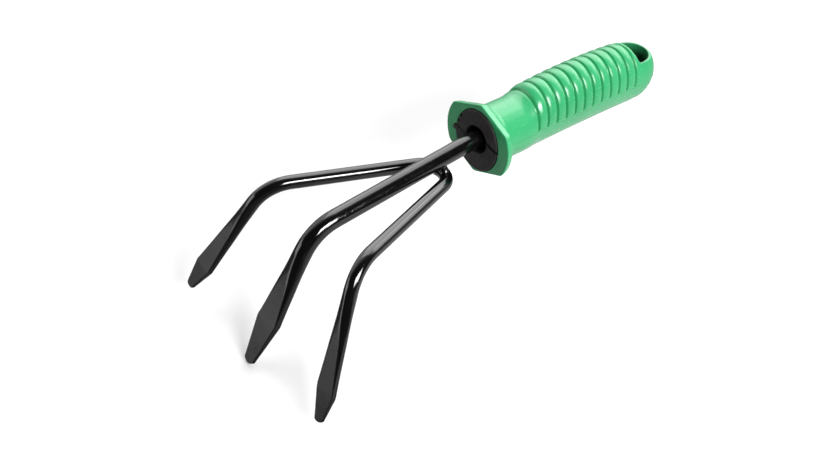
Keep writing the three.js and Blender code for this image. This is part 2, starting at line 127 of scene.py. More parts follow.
SHAFT_RADIUS, SIDE_RADIUS = 4.45, 3.4
SHAFT_HEIGHT = -0.4
TANG_END = tang_end
EAR_CENTRE, EAR_HALF_LENGTH, EAR_HALF_WIDTH, EAR_HALF_DEPTH = -16, 4, 6.4, 2.9
TIP_HALF_THICKNESS = 0.8
CENTRE_CORNER = Vector((97.4, 0, -11.5))
CENTRE_TIP = Vector((134.3, 0, -74))
FORK_APEX = Vector((-0.1, -0.6, -12.08))
SIDE_CORNER = Vector((99.6, 34.4, -6.9))
SIDE_TIP = Vector((133.2, 53.7, -67.3))
LEFT_SHORTENING = 1.2  # the left tine ends this much before the mirror image of the right one
CENTRE_BEND, NECK_BEND, SIDE_BEND, APEX_BEND = 23, 30, 20, 10.6  # bend radii of the bars' axes
STEEP_HEADING = 0.8  # downward part of a side bar's heading at which it counts as steep

# A blade: length, how far back from the tip its shoulders are, half width and half thickness, tip radius.
# The centre blade's left is the tool's left, and a side blade's left is its outer side.
CENTRE_BLADE = dict(length=60, left=22.5, right=24.2, half_width=6.7, half_thickness=1.9, tip_radius=3.7)
LEFT_BLADE = dict(length=58, left=13.8, right=15.2, half_width=5.5, half_thickness=1.5, tip_radius=2.9)
RIGHT_BLADE = dict(length=58, left=12.2, right=16.9, half_width=5.4, half_thickness=1.5, tip_radius=2.9)
BLADE_TAPER = 1.2  # 1 is a straight taper from the bar to the shoulders, more is hollow
TIP_TANGENT_BACK, TIP_TANGENT_WIDTH = 0.6, 0.92  # where the round tip ends, as shares of its radius
TIP_FLAT = 0.02  # keeps the very end of the tip from closing to a point
TIP_ROUNDING, TIP_START = 0.8, 0.12  # length of the tip's rounded end, and where on it the blade starts
END_THICKNESS = 0.4  # of the very end, as a share

# ------------------------------------------------------------------ pieces


def make_piece(name, node, material, points, faces, normals=None, marks=None):
    """A visible piece from points in millimetres, standing for a CAD node and riding on its body.
    marks holds point attributes that the material reads."""
    mesh = bpy.data.meshes.new(name)
    placed = np.asarray(points, float) * MM + np.array(ORIGIN)
    mesh.from_pydata(placed.tolist(), [], faces)
    mesh.validate()
    mesh.shade_smooth()
    if normals is not None:
        mesh.normals_split_custom_set_from_vertices(normals.tolist())
    for mark, values in (marks or {}).items():
        attribute = mesh.attributes.new(mark, "FLOAT", "POINT")
        attribute.data.foreach_set("value", np.asarray(values, np.float32))
    mesh.materials.append(material)
    piece = bpy.data.objects.new(name, mesh)
    bpy.context.scene.collection.objects.link(piece)
    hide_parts(node)
    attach(piece, "root")
    return piece


# ------------------------------------------------------------------ shapes as distance functions


def smoothstep(low, high, value):
    """0 up to low, 1 from high on, and a soft change between them."""
    t = np.clip((value - low) / (high - low), 0, 1)
    return t * t * (3 - 2 * t)


def mix(a, b, share):
    """a at share 0, b at share 1."""
    return a + (b - a) * share


def join(a, b, radius):
    """Union of two shapes, with a fillet."""
    close = np.maximum(radius - np.abs(a - b), 0) / radius
    return np.minimum(a, b) - close**2 * radius / 4


def overlap(a, b, radius):
    """What two shapes share, with rounded edges."""
    return -join(-a, -b, radius)


def cut(a, b, radius):
    """The first shape less the second, with rounded edges."""
    return overlap(a, -b, radius)


def slab(value, low, high):
    """Distance from the space between two planes."""
    return np.abs(value - (low + high) / 2) - (high - low) / 2


def oval(y, z, half_width, half_height, centre):
    """Distance from the skin of an upright oval tube along x."""
    near = np.hypot(y / half_width, (z - centre) / half_height)
    steep = np.hypot(y / half_width**2, (z - centre) / half_height**2)
    return near * (near - 1) / np.maximum(steep, 1e-6)


def axis_steps(low, high, step, fine=()):
    """Grid coordinates from low to high; each (from, to, step) in fine is a stretch with its own step."""
    stops = [low]
    for start, end, _ in fine:
        stops += [start, end]
    stops.append(high)
    steps = [step]
    for _, _, small in fine:
        steps += [small, step]
    parts = []
    for start, end, size in zip(stops[:-1], stops[1:], steps):
        count = max(1, round((end - start) / size))
        parts.append(np.linspace(start, end, count, endpoint=False))
    return np.concatenate(parts + [[high]])


CORNERS = [(i, j, k) for i in (0, 1) for j in (0, 1) for k in (0, 1)]  # of a grid cell
NEWTON_STEPS = 3
SLOPE_STEP = 0.02
FLATTEST = 0.05  # squared gradient below which a Newton step is held back


def surface_net(distance, xs, ys, zs):
    """Vertices, quads and normals of the zero surface of distance(x, y, z) on a grid: one vertex in each
    cell that the surface crosses, one quad round each grid edge that it crosses."""
    axes = (xs, ys, zs)
    values = distance(*np.meshgrid(*axes, indexing="ij")).astype(np.float32)
    inside = values < 0
    count = sum(at_corner(inside, corner).astype(np.int8) for corner in CORNERS)
    crossed = (count > 0) & (count < len(CORNERS))
    where = np.argwhere(crossed)
    number = np.full(crossed.shape, -1)
    number[crossed] = np.arange(len(where))
    half_a_cell = min(np.diff(a).min() for a in axes) / 2
    points, normals = settled(distance, crossing_centres(axes, values, where), half_a_cell)
    return points, crossing_quads(inside, number).tolist(), normals


def at_corner(array, corner):
    """An array over the grid's points as seen from one corner of each cell."""
    return array[tuple(slice(c, c + n - 1) for c, n in zip(corner, array.shape))]


def crossing_centres(axes, values, where):
    """For each cell, the mean of the points where the surface crosses its edges."""
    total = np.zeros((len(where), 3))
    weight = np.zeros(len(where))
    for a in CORNERS:
        for direction in range(3):
            if a[direction]:
                continue
            b = tuple(1 if d == direction else a[d] for d in range(3))
            ia = tuple((where + a).T)
            ib = tuple((where + b).T)
            va, vb = values[ia], values[ib]
            hit = (va < 0) != (vb < 0)
            share = np.where(hit, va / np.where(hit, va - vb, 1), 0)
            pa = np.stack([axes[d][ia[d]] for d in range(3)], 1)
            pb = np.stack([axes[d][ib[d]] for d in range(3)], 1)
            total += np.where(hit[:, None], pa + (pb - pa) * share[:, None], 0)
            weight += hit
    return total / weight[:, None]


def crossing_quads(inside, number):
    """For each grid edge that the surface crosses, the numbers of the four cells round it."""
    quads = []
    for direction in range(3):
        u, v = (direction + 1) % 3, (direction + 2) % 3
        low = [slice(1, -1)] * 3
        high = [slice(1, -1)] * 3
        low[direction], high[direction] = slice(0, -1), slice(1, None)
        first, second = inside[tuple(low)], inside[tuple(high)]
        for leaving in (True, False):
            edges = np.argwhere((first != second) & (first == leaving))
            edges[:, u] += 1
            edges[:, v] += 1
            ring = []
            for du, dv in ((-1, -1), (0, -1), (0, 0), (-1, 0)):
                cell = edges.copy()
                cell[:, u] += du
                cell[:, v] += dv
                ring.append(number[tuple(cell.T)])
            if not leaving:
                ring.reverse()
            quads.append(np.stack(ring, 1))
    return np.concatenate(quads)


def settled(distance, points, reach):
    """The points moved on to the surface, by Newton steps no longer than reach, and its normals there."""
    for _ in range(NEWTON_STEPS):
        value, slope = value_and_slope(distance, points)
        steepness = np.maximum((slope**2).sum(1), FLATTEST)
        move = -value[:, None] * slope / steepness[:, None]
        points = points + np.clip(move, -reach, reach)
    _, slope = value_and_slope(distance, points)
    return points, slope / np.maximum(np.linalg.norm(slope, axis=1), 1e-9)[:, None]


def value_and_slope(distance, points):
    """A distance function and its gradient at some points, by differences over a small step."""
    x, y, z = points.T
    slope = np.stack([
        distance(x + SLOPE_STEP, y, z) - distance(x - SLOPE_STEP, y, z),
        distance(x, y + SLOPE_STEP, z) - distance(x, y - SLOPE_STEP, z),
        distance(x, y, z + SLOPE_STEP) - distance(x, y, z - SLOPE_STEP),
    ], 1) / (2 * SLOPE_STEP)
    return distance(x, y, z), slope


# ------------------------------------------------------------------ grip


def outer_section(x):
    """Half width, half height and centre of the plain grip at x."""
    change = smoothstep(-NECK_END, -GRIP_START, -x)
    arch = 1 - ((np.maximum(x, LOOP_START) - SWELL_MIDDLE) / SWELL_HALF_LENGTH)**2
    half_width = mix(NECK[0], GRIP[0], change)
    half_height = mix(NECK[1], GRIP[1] + SWELL_HEIGHT * arch, change)
    return half_width, half_height, mix(NECK[2], GRIP[2] + SWELL_CENTRE * arch, change)


def grip_tube(x, y, z):
    """Neck, grip and domed end, without rings."""
    flare = FLARE_GROWTH * np.clip(1 + (x + FLANGE_THICKNESS) / FLARE_LENGTH, 0, 1)**2
    half_width, half_height, centre = outer_section(x)
    half_width, half_height = half_width + flare, half_height + flare
    height = z - centre
    end = np.clip((DOME_START - x) / DOME_LENGTH, 0, None)
    across = np.abs(y) / half_width
    level = (end**DOME_FULLNESS + across**DOME_FULLNESS)**(2 / DOME_FULLNESS)
    near = np.sqrt(level + (height / half_height)**2)
    steep = np.sqrt((end / DOME_LENGTH)**2 + (y / half_width**2)**2 + (height / half_height**2)**2)
    tube = near * (near - 1) / np.maximum(steep, 1e-6)
    return overlap(tube, x + FLANGE_THICKNESS / 2, 0.1)


LAST_GROOVE = RING_GROOVES - 1


def ring_phase(x):
    """0 at the first groove, LAST_GROOVE at the last one."""
    return (FIRST_GROOVE - x) / RING_PITCH


def groove_share(x):
    """1 at the bottom of a groove, 0 outside it."""
    phase = ring_phase(x)
    nearest = np.clip(np.round(phase), 0, LAST_GROOVE)
    from_groove = np.abs(phase - nearest) * RING_PITCH
    return 1 - smoothstep(GROOVE_FLOOR * GROOVE_HALF_WIDTH, GROOVE_HALF_WIDTH, from_groove)


def ring_profile(x):
    """How far the ribbed half lies inside (+) or outside (-) the plain tube. Each ring is a low arch."""
    phase = ring_phase(x)
    ribbed = (phase > 0) & (phase < LAST_GROOVE)
    arch = np.where(ribbed, 1 - (2 * np.mod(phase, 1) - 1)**2, 0)
    sunk = smoothstep(-RING_LEAD, 0, phase) * (1 - smoothstep(LAST_GROOVE, LAST_GROOVE + RING_LEAD, phase))
    return GROOVE_DEPTH * groove_share(x) + RING_SINK * sunk - CREST_HEIGHT * arch


def flange(x, y, z):
    """A disc trimmed by four slanting flats that meet in a point above and below."""
    shrink = 1 - FLANGE_DRAFT * np.clip(-x / FLANGE_THICKNESS, 0, 1)
    side = np.hypot(y, 0.5) / shrink
    up = np.hypot(z - FLANGE_CENTRE, 0.2) / shrink
    shoulder_side = math.sqrt(FLANGE_RADIUS**2 - FLANGE_SHOULDER**2)
    rise = FLANGE_POINT - FLANGE_SHOULDER
    slope = math.hypot(rise, shoulder_side)
    flat = (side * rise + up * shoulder_side - FLANGE_POINT * shoulder_side) / slope
    disc = np.hypot(y, z - FLANGE_CENTRE) / shrink - FLANGE_RADIUS
    return overlap(overlap(disc, flat, 1.0), slab(x, -FLANGE_THICKNESS, 0), 0.8)


def loop_cut(x, z, outward):
    """What is cut away above or below the loop, with a slanting face behind the last ring."""
    level = z * outward - LOOP_HALF_HEIGHT
    run = LAST_CREST_END - LOOP_START
    rise = GRIP[1] + 1 - LOOP_HALF_HEIGHT
    slant = ((x - LOOP_START) * rise - level * run) / math.hypot(rise, run)
    return overlap(-level, slant, 1.2)


def hanging_hole(x, y):
    near = np.hypot((x - DOME_START) / HOLE_HALF_LENGTH, y / HOLE_HALF_WIDTH)
    steep = np.hypot((x - DOME_START) / HOLE_HALF_LENGTH**2, y / HOLE_HALF_WIDTH**2)
    round_side = near * (near - 1) / np.maximum(steep, 1e-6)
    return overlap(round_side, x - HOLE_FRONT, 1.5)


def tab(x, y, z, grow=0.0):
    """The key on the bush's rim, or the slot for it when grown by the gap."""
    sides = overlap(slab(y, *TAB_SIDE), slab(z, *TAB_HEIGHT), 0.3)
    return overlap(sides, slab(x, -TAB_DEPTH, HEAD_PROUD), 0.3) - grow


def grip_hollow(x, y, z):
    """The socket for the bush, the seat of its head and the hollow behind it."""
    socket = overlap(oval(y, z, NECK[0] - WALL, NECK[1] - WALL, NECK[2]), -SOCKET_DEPTH - x, 0.3)
    seat = overlap(oval(y, z, HEAD[0] + GAP, HEAD[1] + GAP, HEAD[2]), -HEAD_DEPTH - GAP - x, 0.3)
    half_width, half_height, centre = outer_section(x)
    hollow = oval(y, z, half_width - HOLLOW_WALL, half_height - HOLLOW_WALL, centre)
    hollow = overlap(hollow, slab(x, HOLLOW_END, 1 - SOCKET_DEPTH), 2)
    return np.minimum(np.minimum(socket, seat), np.minimum(hollow, tab(x, y, z, GAP)))


RIB_FADE = 0.5  # height over which the rings end above the parting line
PARTING_HEIGHT, PARTING_WIDTH = 0.12, 0.28  # of the fine bead along the parting line


def grip_shape(x, y, z):
    ribbed = smoothstep(0, RIB_FADE, z)
    parting_bead = PARTING_HEIGHT * np.exp(-(z / PARTING_WIDTH)**2)
    tube = grip_tube(x, y, z) + ring_profile(x) * ribbed
    body = join(tube, flange(x, y, z), 1.2) - parting_bead
    for outward in (1, -1):
        body = cut(body, loop_cut(x, z, outward), 0.7)
    body = cut(body, hanging_hole(x, y), 0.3)
    return cut(body, grip_hollow(x, y, z), 0.35)


def make_grip(material):
    margin, step = 1.2, 0.42
    flange_stretch = (-7, 1.2, 0.28)
    parting_stretch = (-0.7, 0.7, 0.14)
    xs = axis_steps(grip_low.x - margin, grip_high.x + margin, step, [flange_stretch])
    ys = axis_steps(grip_low.y - margin, grip_high.y + margin, step)
    zs = axis_steps(grip_low.z - margin, grip_high.z + margin, step, [parting_stretch])
    points, quads, normals = surface_net(grip_shape, xs, ys, zs)
    x, y, z = points.T
    outside = grip_hollow(x, y, z) > 0.5
    # painted shade: how strongly each groove takes the darker green
    groove = groove_share(x) * smoothstep(0, RIB_FADE, z) * outside
    seam_shade = np.exp(-((z + 0.45) / 0.3)**2) * outside  # the shade just below the parting bead
    # painted shade: the hanging hole goes nearly black, darker the lower it goes
    hole = 1 - smoothstep(0.2, 1.0, hanging_hole(x, y))
    deep = hole * mix(0.45, 1, smoothstep(0, 7, LOOP_HALF_HEIGHT - z))
    marks = {"groove": groove, "seam_shade": seam_shade, "deep": deep}
    return make_piece("grip_moulding", "grip", material, points, quads, normals, marks)


# ------------------------------------------------------------------ bush


def tang_room(x, y, z):
    """The clearance round the tang and its pressed ears."""
    pressed = 1 - smoothstep(EAR_HALF_LENGTH / 2, EAR_HALF_LENGTH, np.abs(x - EAR_CENTRE))
    half_width = mix(SHAFT_RADIUS, EAR_HALF_WIDTH, pressed) + GAP
    half_height = mix(SHAFT_RADIUS, EAR_HALF_DEPTH, pressed) + GAP
    room = oval(y, z, half_width, half_height, SHAFT_HEIGHT)
    return overlap(room, TANG_END - GAP - x, 0.2)


def mouth(x, y, z):
    """The round opening in front, with a cone at its bottom."""
    bottom = HEAD_PROUD - MOUTH_DEPTH
    radius = mix(SHAFT_RADIUS + GAP, MOUTH_RADIUS, np.clip((x - bottom) / MOUTH_CONE, 0, 1))
    return overlap(np.hypot(y, z - MOUTH_CENTRE) - radius, bottom - x, 0.2)


def rim_notch(x, y, z, degrees):
    angle = math.radians(degrees)
    side = HEAD[0] * math.cos(angle) + NOTCH_INSET
    up = HEAD[2] + HEAD[1] * math.sin(angle)
    half = NOTCH_WIDTH / 2
    flat = np.maximum(slab(y, side - half, side + half), slab(z, up - half, up + half))
    return np.maximum(flat, HEAD_PROUD - NOTCH_DEPTH - x)


def joint_height(y):
    """Height of the joint between the bush's halves; it slants down outside its knees."""
    inner = SPLIT_RISE * np.clip(y / SPLIT_KNEE, -1, 1)
    outer = SPLIT_SLOPE * np.sign(y) * np.maximum(np.abs(y) - SPLIT_KNEE, 0)
    return SHAFT_HEIGHT + inner + outer


def bush_shape(x, y, z):
    head = overlap(oval(y, z, *HEAD), slab(x, -HEAD_DEPTH, HEAD_PROUD), 0.9)
    thin = WALL + GAP
    plug = oval(y, z, NECK[0] - thin, NECK[1] - thin, NECK[2])
    plug = overlap(plug, slab(x, PLUG_END, 0.5 - HEAD_DEPTH), 1.2)
    solid = join(np.minimum(head, tab(x, y, z)), plug, 0.6)
    solid = cut(solid, mouth(x, y, z), 0.6)
    solid = cut(solid, tang_room(x, y, z), 0.3)
    for degrees in NOTCH_ANGLES:
        solid = cut(solid, rim_notch(x, y, z, degrees), 0.3)
    return solid


def make_bush_half(name, node, side, material):
    """side is 1 for the upper half and -1 for the lower."""
    def shape(x, y, z):
        open_slit = SLIT_OPENING * smoothstep(SPLIT_KNEE - 2, SPLIT_KNEE, y)
        other = GAP / 2 + open_slit - side * (z - joint_height(y))
        return overlap(bush_shape(x, y, z), other, 0.25)

    low, high = local_box(node)
    margin, step = 0.8, 0.28
    head_stretch = (-2, high.x + 0.5, 0.16)
    xs = axis_steps(low.x - margin, high.x + margin, 0.3, [head_stretch])
    ys = axis_steps(low.y - margin, high.y + margin, step)
    zs = axis_steps(low.z - margin, high.z + margin, step)
    points, quads, normals = surface_net(shape, xs, ys, zs)
    x, y, z = points.T
    # painted shade: black in the joint between the halves and in the mouth
    joint_shade = 1 - smoothstep(0.5, 1.1, np.abs(z - joint_height(y)))
    mouth_shade = 1 - smoothstep(0.15, 0.7, mouth(x, y, z))
    left_share = 0.5  # the joint is tighter on the left
    dark = np.maximum(joint_shade * np.where(y > 0, 1, left_share), mouth_shade)
    return make_piece(name, node, material, points, quads, normals, {"dark": dark})


# ------------------------------------------------------------------ bars and blades

Y_AXIS = Vector((0, 1, 0))
CENTRE_BEND_STEPS, FORK_BEND_STEPS = 24, 28  # sections along a bend
STRIDE = 3  # between sections along a straight run
BLADE_MARGIN = 0.5  # between a bar's last section and its blade's first


def bent_path(corners, radii, bend_steps):
    """Points and headings along straight runs joined by circular bends."""
    path = []
    start = corners[0]
    for i, radius in enumerate(radii, 1):
        before = (corners[i] - corners[i - 1]).normalized()
        after = (corners[i + 1] - corners[i]).normalized()
        turn = before.angle(after)
        bend_start = corners[i] - before * radius * math.tan(turn / 2)
        inward = (after - before * after.dot(before)).normalized()
        steps = max(1, round((bend_start - start).length / STRIDE))
        path += [(start.lerp(bend_start, s / steps), before) for s in range(steps)]
        for s in range(bend_steps + 1):
            angle = turn * s / bend_steps
            at = bend_start + before * radius * math.sin(angle) + inward * radius * (1 - math.cos(angle))
            path.append((at, before * math.cos(angle) + inward * math.sin(angle)))
        start = path.pop()[0]
    last = (corners[-1] - corners[-2]).normalized()
    steps = max(1, round((corners[-1] - start).length / STRIDE))
    path += [(start.lerp(corners[-1], s / steps), last) for s in range(steps + 1)]
    return path


FLAT_POINTS, ARC_POINTS = 3, 8  # of a quarter of a section: on each flat, and on its rounded corner
CROWDING = 2.5  # 1 spaces the points on a flat evenly, more crowds them towards the corner


def square_quarter(half_width, half_depth, corner):
    """A quarter of a rectangle with rounded corners, from the end of its width to the end of its depth."""
    radius = min(corner, half_width, half_depth)
    side, top = half_width - radius, half_depth - radius
    points = [(half_width, top * (i / FLAT_POINTS)**(1 / CROWDING)) for i in range(FLAT_POINTS)]
    for i in range(ARC_POINTS):
        angle = math.pi / 2 * i / (ARC_POINTS - 1)
        points.append((side + radius * math.cos(angle), top + radius * math.sin(angle)))
    points += [(side * (1 - ((i + 1) / FLAT_POINTS)**CROWDING), half_depth) for i in range(FLAT_POINTS)]
    return points


def section(halves, corner, square):
    """Outline of a bar's section as (width, depth) pairs. halves holds its half widths and half depths on
    the + and - side; square goes from 0, an oval, to 1, a rectangle with rounded corners."""
    right, left, up, down = halves
    quarters = ((right, up, 1, 1), (left, up, -1, 1), (left, down, -1, -1), (right, down, 1, -1))
    outline = []
    for half_width, half_depth, width_sign, depth_sign in quarters:
        points = square_quarter(half_width, half_depth, corner)
        quarter = []
        for i, (width, depth) in enumerate(points):
            angle = math.pi / 2 * i / (len(points) - 1)
            width = mix(half_width * math.cos(angle), width, square)
            depth = mix(half_depth * math.sin(angle), depth, square)
            quarter.append((width_sign * width, depth_sign * depth))
        if width_sign != depth_sign:  # walk round the section in one direction
            quarter.reverse()
        outline += quarter[:-1]
    return outline


def station(at, along, sideways, halves, corner=1.0, square=0.0):
    """The section's outline in space, at a point of a bar that runs along."""
    across = (sideways - along * sideways.dot(along)).normalized()
    deep = across.cross(along)
    return [at + across * w + deep * d for w, d in section(halves, corner, square)]


def skin(rings):
    """Points and faces of a closed tube through rings of points."""
    count = len(rings[0])
    points = [p for ring in rings for p in ring]
    faces = []
    for i in range(len(rings) - 1):
        for j in range(count):
            k = (j + 1) % count
            faces.append((i * count + j, (i + 1) * count + j, (i + 1) * count + k, i * count + k))
    last = (len(rings) - 1) * count
    for base, ring, at_start in ((0, rings[0], True), (last, rings[-1], False)):
        hub = len(points)
        points.append(sum(ring, Vector()) / count)
        for j in range(count):
            k = (j + 1) % count
            faces.append((hub, base + j, base + k) if at_start else (hub, base + k, base + j))
    return points, faces


def smooth(value):
    """The same as smoothstep from 0 to 1, for a single number."""
    t = min(max(value, 0), 1)
    return t * t * (3 - 2 * t)


def quarter_round(run):
    """Height of a quarter circle of radius 1 that starts upright at run 0 and is level from run 1 on."""
    return math.sqrt(1 - (1 - min(run, 1))**2)


def blade_half_width(back, shoulder, blade, bar_radius):
    """Half width of one side of a blade, at a distance back from the tip."""
    if back >= shoulder:
        return mix(blade["half_width"], bar_radius, (back - shoulder) / (blade["length"] - shoulder))
    tangent_back = blade["tip_radius"] * TIP_TANGENT_BACK
    tangent_width = blade["tip_radius"] * TIP_TANGENT_WIDTH
    if back > tangent_back:
        return mix(tangent_width, blade["half_width"], (back - tangent_back) / (shoulder - tangent_back))
    return tangent_width * quarter_round(back / tangent_back + TIP_FLAT)


def blade_half_thickness(back, blade, bar_radius):
    """The same for its thickness."""
    shoulder = (blade["left"] + blade["right"]) / 2
    if back >= shoulder:
        taper = (back - shoulder) / (blade["length"] - shoulder)
        return mix(blade["half_thickness"], bar_radius, taper**BLADE_TAPER)
    end = mix(END_THICKNESS, 1, quarter_round((back + TIP_START) / TIP_ROUNDING))
    return mix(TIP_HALF_THICKNESS, blade["half_thickness"], back / shoulder) * end


def blade_faces(points, tip, along, blade, bar_radius):
    """1 for points on the broad faces of a blade, 0 on its edges and beyond it."""
    broad = along.cross(Y_AXIS).normalized()
    share = []
    for point in points:
        offset = point - tip
        back = max(-offset.dot(along), 0)
        reach = min(back / blade["length"], 1)
        depth = abs(offset.dot(broad)) / blade_half_thickness(reach * blade["length"], blade, bar_radius)
        near = (offset + along * back).length < 3 * bar_radius
        on_face = smooth((depth - 0.90) / 0.08)
        on_blade = 1 - smooth((reach - 0.55) / 0.35)
        share.append(near * on_face * on_blade)
    return np.array(share)


def blade_rings(tip, along, sideways, blade, bar_radius):
    """Rings of a forged blade that ends a bar, from the bar down to the tip."""
    length = blade["length"]
    shoulders = (blade["left"], blade["right"])
    shoulder = sum(shoulders) / 2
    tip_length, taper_steps, face_steps, tip_steps = 3, 34, 20, 14
    backs = list(np.linspace(length, shoulder, taper_steps))
    backs += list(np.linspace(shoulder, tip_length, face_steps))
    backs += [b + shift for b in shoulders for shift in (-0.25, 0.25)]  # keeps each shoulder crisp
    backs += [tip_length * (1 - math.sin(math.pi / 2 * i / tip_steps)) for i in range(tip_steps + 1)]
    rings = []
    for back in sorted(set(backs), reverse=True):
        taper = max(back - shoulder, 0) / (length - shoulder)
        thickness = blade_half_thickness(back, blade, bar_radius)
        left = blade_half_width(back, blade["left"], blade, bar_radius)
        right = blade_half_width(back, blade["right"], blade, bar_radius)
        square = smooth((1 - taper) / 0.55)
        corner = mix(0.4, bar_radius, taper**0.8)
        at = tip - along * back
        rings.append(station(at, along, sideways, (right, left, thickness, thickness), corner, square))
    return rings


def bar_rings(path, sideways_at, radius):
    halves = (radius,) * 4
    return [station(at, along, sideways_at(at, along), halves) for at, along in path]


TANG_ROUNDING, TANG_START, TANG_END_SHARE = 1.2, 0.1, 0.75  # of its rounded end: length, start, thickness


def tang_rings():
    """The buried end of the shaft, pressed to two ears that key it into the bush."""
    rings = []
    along = Vector((1, 0, 0))
    for x in np.linspace(TANG_END, EAR_CENTRE + EAR_HALF_LENGTH + 1, 30):
        pressed = 1 - smooth((abs(x - EAR_CENTRE) - EAR_HALF_LENGTH / 2) / (EAR_HALF_LENGTH / 2))
        half_width = mix(SHAFT_RADIUS, EAR_HALF_WIDTH, pressed)
        half_depth = mix(SHAFT_RADIUS, EAR_HALF_DEPTH, pressed)
        end = mix(TANG_END_SHARE, 1, quarter_round((x - TANG_END) / TANG_ROUNDING + TANG_START))
        halves = (half_width * end, half_width * end, half_depth * end, half_depth * end)
        rings.append(station(Vector((x, 0, SHAFT_HEIGHT)), along, Y_AXIS, halves))
    return rings


def centre_tine_path():
    corners = [Vector((-6, 0, SHAFT_HEIGHT)), Vector((1, 0, SHAFT_HEIGHT)), CENTRE_CORNER, CENTRE_TIP]
    path = bent_path(corners, [NECK_BEND, CENTRE_BEND], CENTRE_BEND_STEPS)
    far = CENTRE_BLADE["length"] + BLADE_MARGIN
    return [p for p in path if (p[0] - CENTRE_TIP).length > far]


def make_centre_tine(material):
    along = (CENTRE_TIP - CENTRE_CORNER).normalized()
    rings = tang_rings()
    rings += bar_rings(centre_tine_path(), lambda at, heading: Y_AXIS, SHAFT_RADIUS)
    rings += blade_rings(CENTRE_TIP, along, Y_AXIS, CENTRE_BLADE, SHAFT_RADIUS)
    points, faces = skin(rings)
    marks = {"face": blade_faces(points, CENTRE_TIP, along, CENTRE_BLADE, SHAFT_RADIUS)}
    return make_piece("centre_tine_bar", "centre_tine", material, points, faces,
                      marks=marks)


def mirrored(point):
    return Vector((point.x, -point.y, point.z))


SIDE_HEADING = (SIDE_TIP - SIDE_CORNER).normalized()
LEFT_TIP = mirrored(SIDE_TIP - SIDE_HEADING * LEFT_SHORTENING)


def fork_path():
    corners = [LEFT_TIP, mirrored(SIDE_CORNER), FORK_APEX, SIDE_CORNER, SIDE_TIP]
    path = bent_path(corners, [SIDE_BEND, APEX_BEND, SIDE_BEND], FORK_BEND_STEPS)
    far = LEFT_BLADE["length"] + BLADE_MARGIN
    return [p for p in path if min((p[0] - SIDE_TIP).length, (p[0] - LEFT_TIP).length) > far]


def fork_sideways(at, along):
    """The section's width direction: level along the arms, across the tool where the bar turns down."""
    steepness = min(abs(along.z) / STEEP_HEADING, 1)
    level = along.cross(Vector((0, 0, 1))).normalized()
    blade_wise = Vector((0, 1 if at.y < 0 else -1, 0))
    return level.lerp(blade_wise, steepness)


def make_side_fork(material):
    left = blade_rings(LEFT_TIP, mirrored(SIDE_HEADING), Y_AXIS, LEFT_BLADE, SIDE_RADIUS)
    left = [flipped(ring) for ring in reversed(left)]
    right = blade_rings(SIDE_TIP, SIDE_HEADING, -Y_AXIS, RIGHT_BLADE, SIDE_RADIUS)
    rings = left + bar_rings(fork_path(), fork_sideways, SIDE_RADIUS) + right
    points, faces = skin(rings)
    left_faces = blade_faces(points, LEFT_TIP, mirrored(SIDE_HEADING), LEFT_BLADE, SIDE_RADIUS)
    right_faces = blade_faces(points, SIDE_TIP, SIDE_HEADING, RIGHT_BLADE, SIDE_RADIUS)
    marks = {"face": np.maximum(left_faces, right_faces)}
    return make_piece("side_tine_fork_bar", "side_tine_fork", material, points, faces,
                      marks=marks)


def flipped(ring):
    """The same ring, walked the other way round from the same first point."""
    return [ring[0]] + ring[:0:-1]


# ------------------------------------------------------------------ weld beads

BEAD_CENTRE = Vector((23, 3.2, -7.5))
BEAD_HALF_LENGTH, BEAD_RADIUS, BEAD_TURN = 1.7, 1.9, 60
RIPPLE_PITCH, RIPPLE_HEIGHT, RIPPLE_BOW = 1.1, 0.1, 0.12


def bar_distance(points, path, radius):
    """Distance of points from a bar along a path."""
    nearest = np.full(len(points), 1e9)
    for (a, _), (b, _) in zip(path[:-1], path[1:]):
        start, run = np.array(a), np.array(b - a)
        share = np.clip((points - start) @ run / (run @ run), 0, 1)
        nearest = np.minimum(nearest, np.linalg.norm(points - start - share[:, None] * run, axis=1))
    return nearest - radius


def make_weld_bead(name, node, side, material):
    centre = Vector((BEAD_CENTRE.x, side * BEAD_CENTRE.y, BEAD_CENTRE.z))
    heading = side * math.radians(BEAD_TURN)
    along = np.array((math.cos(heading), math.sin(heading), 0))
    near = [p for p in centre_tine_path() if -5 < p[0].x < 60]
    fork = [p for p in fork_path() if p[0].x < 60]

    def shape(x, y, z):
        grid_shape = np.shape(x)
        points = np.stack([np.ravel(x), np.ravel(y), np.ravel(z)], 1)
        offset = points - np.array(centre)
        run = offset @ along
        inside_run = np.clip(run, -BEAD_HALF_LENGTH, BEAD_HALF_LENGTH)
        away = np.linalg.norm(offset - inside_run[:, None] * along, axis=1)
        bow = RIPPLE_BOW * (away / BEAD_RADIUS)**2
        ripple = RIPPLE_HEIGHT * np.abs(np.sin(math.pi * (run / RIPPLE_PITCH + bow)))
        bead = away - BEAD_RADIUS + RIPPLE_HEIGHT - ripple
        bead = cut(bead, bar_distance(points, near, SHAFT_RADIUS + GAP), 0.2)
        bead = cut(bead, bar_distance(points, fork, SIDE_RADIUS + GAP), 0.2)
        return bead.reshape(grid_shape)

    low, high = local_box(node)
    steps = [axis_steps(low[i] - 0.5, high[i] + 0.5, 0.17) for i in range(3)]
    points, quads, normals = surface_net(shape, *steps)
    return make_piece(name, node, material, points, quads, normals)


# ------------------------------------------------------------------ finishes


